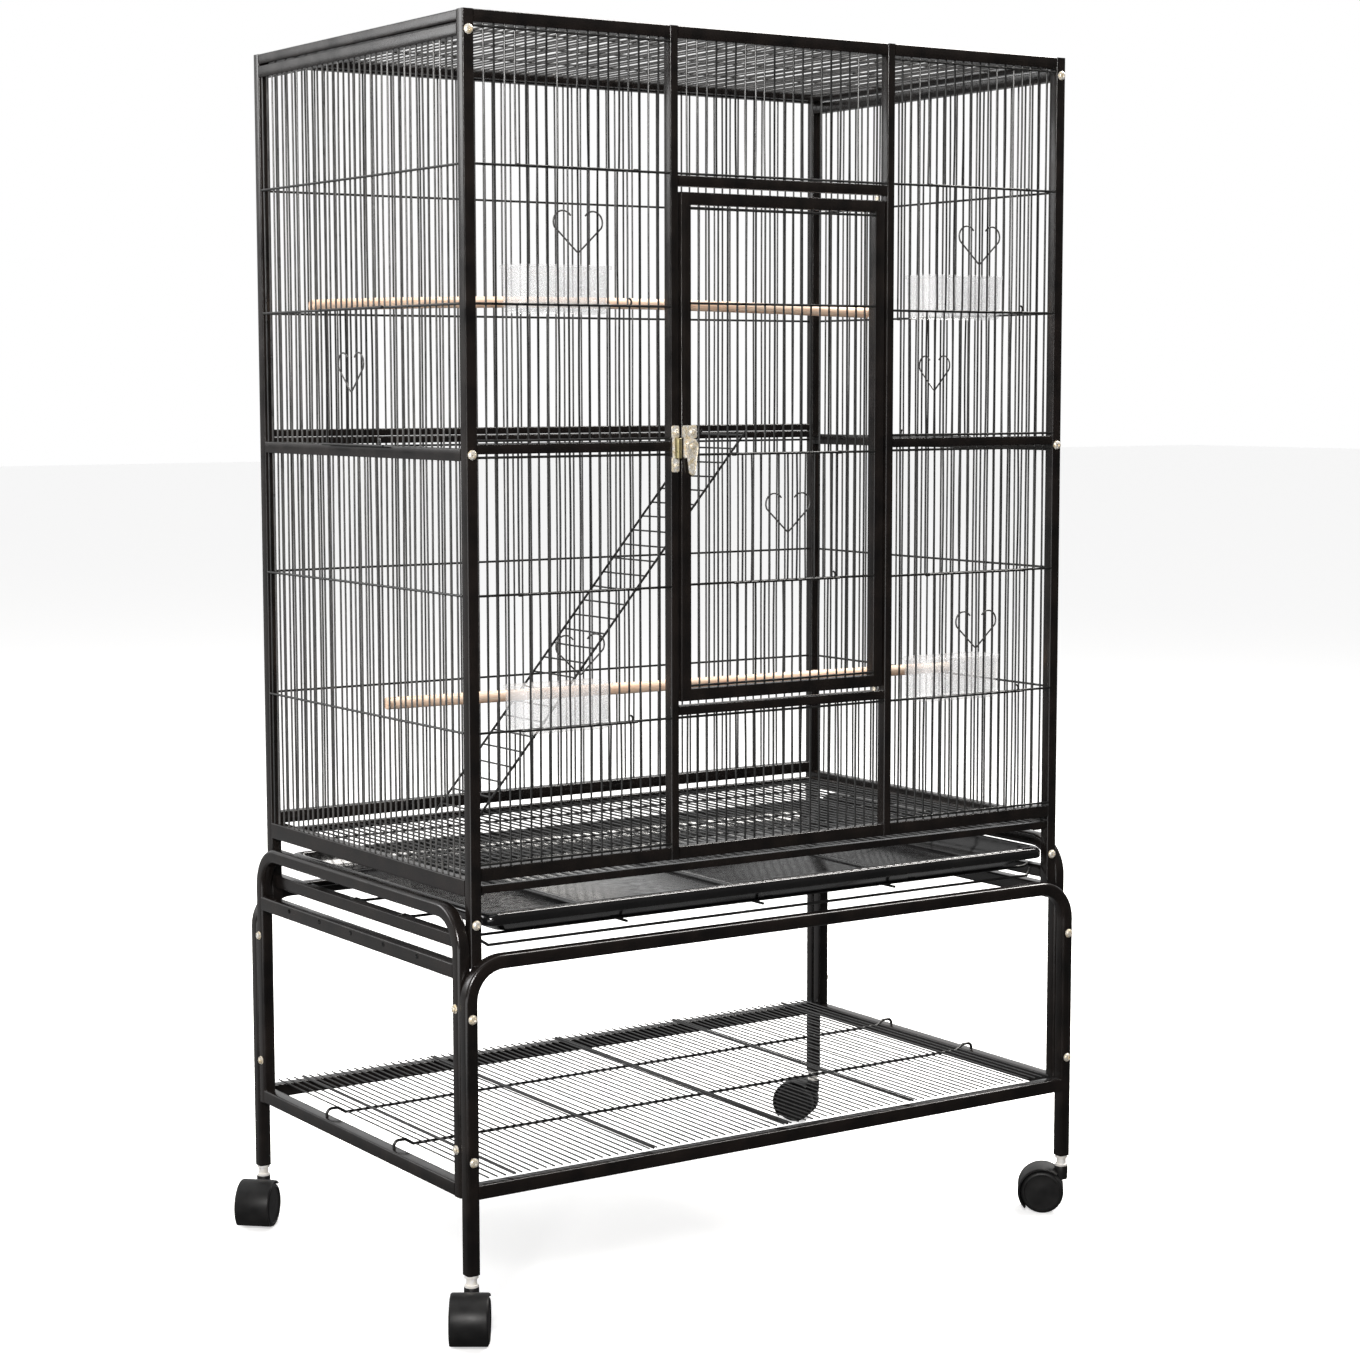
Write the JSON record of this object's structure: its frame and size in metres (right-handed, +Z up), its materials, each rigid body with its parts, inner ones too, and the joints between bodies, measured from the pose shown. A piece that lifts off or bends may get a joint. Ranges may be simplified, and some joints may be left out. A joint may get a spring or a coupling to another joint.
{
  "type": "bird cage on stand",
  "caption": "Tall wire flight cage with a hinged main door, sliding feeder gates, perches, ladder, pull-out grate and tray, on a tube stand with a wire shelf and casters.",
  "frame": {"origin": "on the floor under the middle of the whole object, casters included", "axes": "+Z up, +X along the long side, the main door on the -Y face; millimetre model, metres here"},
  "size_m": [0.8624, 0.595, 1.334],
  "materials": {
    "powder_coat": "semi-gloss black powder coat",
    "zinc_hardware": "yellowish zinc plate",
    "wood_dowel": "plain light dowel",
    "clear_cup": "clear moulded plastic",
    "tray_plastic": "glossy black plastic",
    "caster_plastic": "dull black plastic"
  },
  "bodies": {
    "frame": {"front_left_section": "powder_coat", "front_right_section": "powder_coat", "front_header_section": "powder_coat", "front_sill_section": "powder_coat", "hinge_pin_upper": "zinc_hardware", "hinge_pin_lower": "zinc_hardware", "latch_keeper": "zinc_hardware", "stand_hoop_front": "powder_coat", "stand_bolt_left_1": "zinc_hardware", "stand_bolt_left_2": "zinc_hardware", "cage_screw_left_1": "zinc_hardware", "cage_screw_left_2": "zinc_hardware", "cage_screw_left_3": "zinc_hardware", "stand_bolt_right_1": "zinc_hardware", "stand_bolt_right_2": "zinc_hardware", "cage_screw_right_1": "zinc_hardware", "cage_screw_right_2": "zinc_hardware", "cage_screw_right_3": "zinc_hardware", "back_panel": "powder_coat", "stand_hoop_back": "powder_coat", "left_panel": "powder_coat", "grate_ledge_left": "powder_coat", "stand_side_left": "powder_coat", "right_panel": "powder_coat", "grate_ledge_right": "powder_coat", "stand_side_right": "powder_coat", "roof_panel": "powder_coat", "perch_upper": "wood_dowel", "perch_lower": "wood_dowel", "tray_rack": "powder_coat", "shelf_grid": "powder_coat"},
    "main_door": {"main_door": "powder_coat", "latch_plate": "zinc_hardware"},
    "latch_lever": {"latch_lever": "zinc_hardware"},
    "gate_front_left_upper": {"gate_front_left_upper": "powder_coat"},
    "gate_front_left_lower": {"gate_front_left_lower": "powder_coat"},
    "gate_front_right_upper": {"gate_front_right_upper": "powder_coat"},
    "gate_front_right_lower": {"gate_front_right_lower": "powder_coat"},
    "gate_main_door": {"gate_main_door": "powder_coat"},
    "cup_left_upper": {"cup_left_upper": "clear_cup"},
    "cup_left_lower": {"cup_left_lower": "clear_cup"},
    "cup_right_upper": {"cup_right_upper": "clear_cup"},
    "cup_right_lower": {"cup_right_lower": "clear_cup"},
    "gate_left_side": {"gate_left_side": "powder_coat"},
    "gate_right_side": {"gate_right_side": "powder_coat"},
    "ladder": {"ladder": "powder_coat"},
    "floor_grate": {"floor_grate": "powder_coat"},
    "tray": {"tray": "tray_plastic"},
    "caster_fork_front_left": {"caster_fork_front_left": "caster_plastic"},
    "caster_wheels_front_left": {"caster_wheels_front_left": "caster_plastic"},
    "caster_fork_back_left": {"caster_fork_back_left": "caster_plastic"},
    "caster_wheels_back_left": {"caster_wheels_back_left": "caster_plastic"},
    "caster_fork_front_right": {"caster_fork_front_right": "caster_plastic"},
    "caster_wheels_front_right": {"caster_wheels_front_right": "caster_plastic"},
    "caster_fork_back_right": {"caster_fork_back_right": "caster_plastic"},
    "caster_wheels_back_right": {"caster_wheels_back_right": "caster_plastic"}
  },
  "joints": [
    {"name": "main_door_swing", "type": "hinge", "parent": "frame", "child": "main_door", "pos_m": [0.14259, -0.23031, 0.9], "axis": [0, 0, 1], "range_deg": [0, 105]},
    {"name": "latch_lever_turn", "type": "hinge", "parent": "main_door", "child": "latch_lever", "pos_m": [-0.10731, -0.23966, 0.904], "axis": [0, -1, 0], "range_deg": [0, 85]},
    {"name": "gate_front_left_upper_slide", "type": "slide", "parent": "frame", "child": "gate_front_left_upper", "axis": [0, 0, 1], "range_m": [0, 0.13]},
    {"name": "gate_front_left_lower_slide", "type": "slide", "parent": "frame", "child": "gate_front_left_lower", "axis": [0, 0, 1], "range_m": [0, 0.13]},
    {"name": "gate_front_right_upper_slide", "type": "slide", "parent": "frame", "child": "gate_front_right_upper", "axis": [0, 0, 1], "range_m": [0, 0.13]},
    {"name": "gate_front_right_lower_slide", "type": "slide", "parent": "frame", "child": "gate_front_right_lower", "axis": [0, 0, 1], "range_m": [0, 0.13]},
    {"name": "gate_main_door_slide", "type": "slide", "parent": "main_door", "child": "gate_main_door", "axis": [0, 0, 1], "range_m": [0, 0.13]},
    {"name": "gate_left_side_slide", "type": "slide", "parent": "frame", "child": "gate_left_side", "axis": [0, 0, 1], "range_m": [0, 0.13]},
    {"name": "gate_right_side_slide", "type": "slide", "parent": "frame", "child": "gate_right_side", "axis": [0, 0, 1], "range_m": [0, 0.13]},
    {"name": "cup_left_upper_lift", "type": "slide", "parent": "frame", "child": "cup_left_upper", "axis": [0, 0, 1], "range_m": [0, 0.03]},
    {"name": "cup_left_lower_lift", "type": "slide", "parent": "frame", "child": "cup_left_lower", "axis": [0, 0, 1], "range_m": [0, 0.03]},
    {"name": "cup_right_upper_lift", "type": "slide", "parent": "frame", "child": "cup_right_upper", "axis": [0, 0, 1], "range_m": [0, 0.03]},
    {"name": "cup_right_lower_lift", "type": "slide", "parent": "frame", "child": "cup_right_lower", "axis": [0, 0, 1], "range_m": [0, 0.03]},
    {"name": "tray_slide", "type": "slide", "parent": "frame", "child": "tray", "axis": [0, -1, 0], "range_m": [0, 0.4]},
    {"name": "floor_grate_slide", "type": "slide", "parent": "frame", "child": "floor_grate", "axis": [0, -1, 0], "range_m": [0, 0.4]},
    {"name": "ladder_swing", "type": "hinge", "parent": "frame", "child": "ladder", "pos_m": [0.21064, 0.15934, 0.913], "axis": [0, 1, 0], "range_deg": [0, 25]},
    {"name": "caster_swivel_front_left", "type": "hinge", "parent": "frame", "child": "caster_fork_front_left", "pos_m": [-0.38216, -0.24446, 0.05], "axis": [0, 0, 1], "continuous": true},
    {"name": "caster_roll_front_left", "type": "hinge", "parent": "caster_fork_front_left", "child": "caster_wheels_front_left", "pos_m": [-0.39446, -0.2627, 0.025], "axis": [0.829, -0.5592, 0], "continuous": true},
    {"name": "caster_swivel_back_left", "type": "hinge", "parent": "frame", "child": "caster_fork_back_left", "pos_m": [-0.38216, 0.24514, 0.05], "axis": [0, 0, 1], "continuous": true},
    {"name": "caster_roll_back_left", "type": "hinge", "parent": "caster_fork_back_left", "child": "caster_wheels_back_left", "pos_m": [-0.39716, 0.22905, 0.025], "axis": [0.7314, -0.682, 0], "continuous": true},
    {"name": "caster_swivel_front_right", "type": "hinge", "parent": "frame", "child": "caster_fork_front_right", "pos_m": [0.41344, -0.24446, 0.05], "axis": [0, 0, 1], "continuous": true},
    {"name": "caster_roll_front_right", "type": "hinge", "parent": "caster_fork_front_right", "child": "caster_wheels_front_right", "pos_m": [0.39684, -0.23003, 0.025], "axis": [-0.6561, -0.7547, 0], "continuous": true},
    {"name": "caster_swivel_back_right", "type": "hinge", "parent": "frame", "child": "caster_fork_back_right", "pos_m": [0.41344, 0.24514, 0.05], "axis": [0, 0, 1], "continuous": true},
    {"name": "caster_roll_back_right", "type": "hinge", "parent": "caster_fork_back_right", "child": "caster_wheels_back_right", "pos_m": [0.4002, 0.26271, 0.025], "axis": [-0.7986, -0.6018, 0], "continuous": true}
  ]
}
